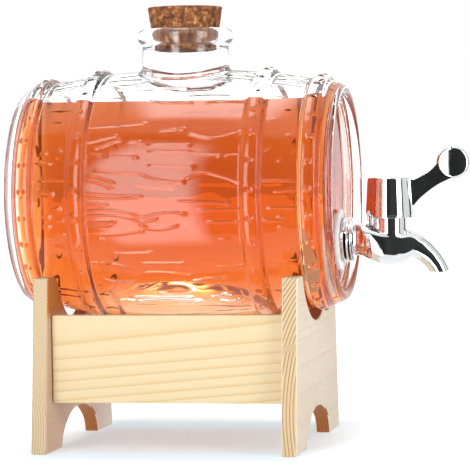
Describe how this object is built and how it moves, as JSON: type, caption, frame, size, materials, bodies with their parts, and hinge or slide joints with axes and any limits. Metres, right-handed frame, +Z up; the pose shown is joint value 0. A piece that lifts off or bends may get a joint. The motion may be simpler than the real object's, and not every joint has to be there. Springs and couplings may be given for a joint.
{
  "type": "glass barrel dispenser with a tap, on a wooden stand",
  "caption": "Drinks dispenser: a moulded clear glass barrel with hoops and a corked neck, lying in a pale pine stand, with a chromed lever tap at one end",
  "frame": {"origin": "on the floor, under the middle of the object's whole length and width", "axes": "+X along the barrel's axis towards the tap, +Z up, +Y towards the back, away from the side that the picture shows"},
  "size_m": [0.2016, 0.1208, 0.1967],
  "materials": {
    "barrel_glass": "clear, fire-polished, moulded",
    "stopper_cork": "natural cork, unsealed",
    "stand_wood": "pale pine, sanded, unvarnished",
    "dowel_wood": "plain beech, glued",
    "tap_chrome": "bright chrome plating",
    "valve_steel": "turned, plain",
    "seal_silicone": "milky silicone, satin",
    "ring_rubber": "black rubber",
    "nut_nylon": "white nylon, satin"
  },
  "bodies": {
    "stand": {"end_board_left": "stand_wood", "end_board_right": "stand_wood", "rail_front": "stand_wood", "rail_back": "stand_wood", "dowel_front_left_lower": "dowel_wood", "dowel_front_left_upper": "dowel_wood", "dowel_front_right_lower": "dowel_wood", "dowel_front_right_upper": "dowel_wood", "dowel_back_left_lower": "dowel_wood", "dowel_back_left_upper": "dowel_wood", "dowel_back_right_lower": "dowel_wood", "dowel_back_right_upper": "dowel_wood"},
    "barrel": {"glass_barrel": "barrel_glass", "outer_washer": "seal_silicone", "inner_washer": "seal_silicone", "tap_collar": "tap_chrome", "lock_nut": "nut_nylon", "tap_body": "tap_chrome", "valve_bonnet": "valve_steel", "stem_o_ring": "ring_rubber", "valve_spring": "valve_steel"},
    "stopper": {"cork_stopper": "stopper_cork"},
    "valve": {"valve_plug": "seal_silicone"},
    "handle": {"valve_stem": "valve_steel", "tap_handle": "tap_chrome", "handle_screw": "valve_steel", "handle_button": "tap_chrome"}
  },
  "joints": [
    {"name": "barrel_lift", "type": "slide", "parent": "stand", "child": "barrel", "axis": [0, 0, 1], "range_m": [0, 0.04]},
    {"name": "stopper_lift", "type": "slide", "parent": "barrel", "child": "stopper", "axis": [0, 0, 1], "range_m": [0, 0.03]},
    {"name": "valve_lift", "type": "slide", "parent": "barrel", "child": "valve", "axis": [0, 0, 1], "range_m": [0, 0.0026], "deforming": ["valve_spring"]},
    {"name": "handle_turn", "type": "hinge", "parent": "valve", "child": "handle", "pos_m": [0.0649, 0, 0.1004], "axis": [0, 0, -1], "range_deg": [0, 60]}
  ],
  "couplings": [
    {"joint": "valve_lift", "follows": "handle_turn", "m_per_rad": 0.0024828}
  ]
}
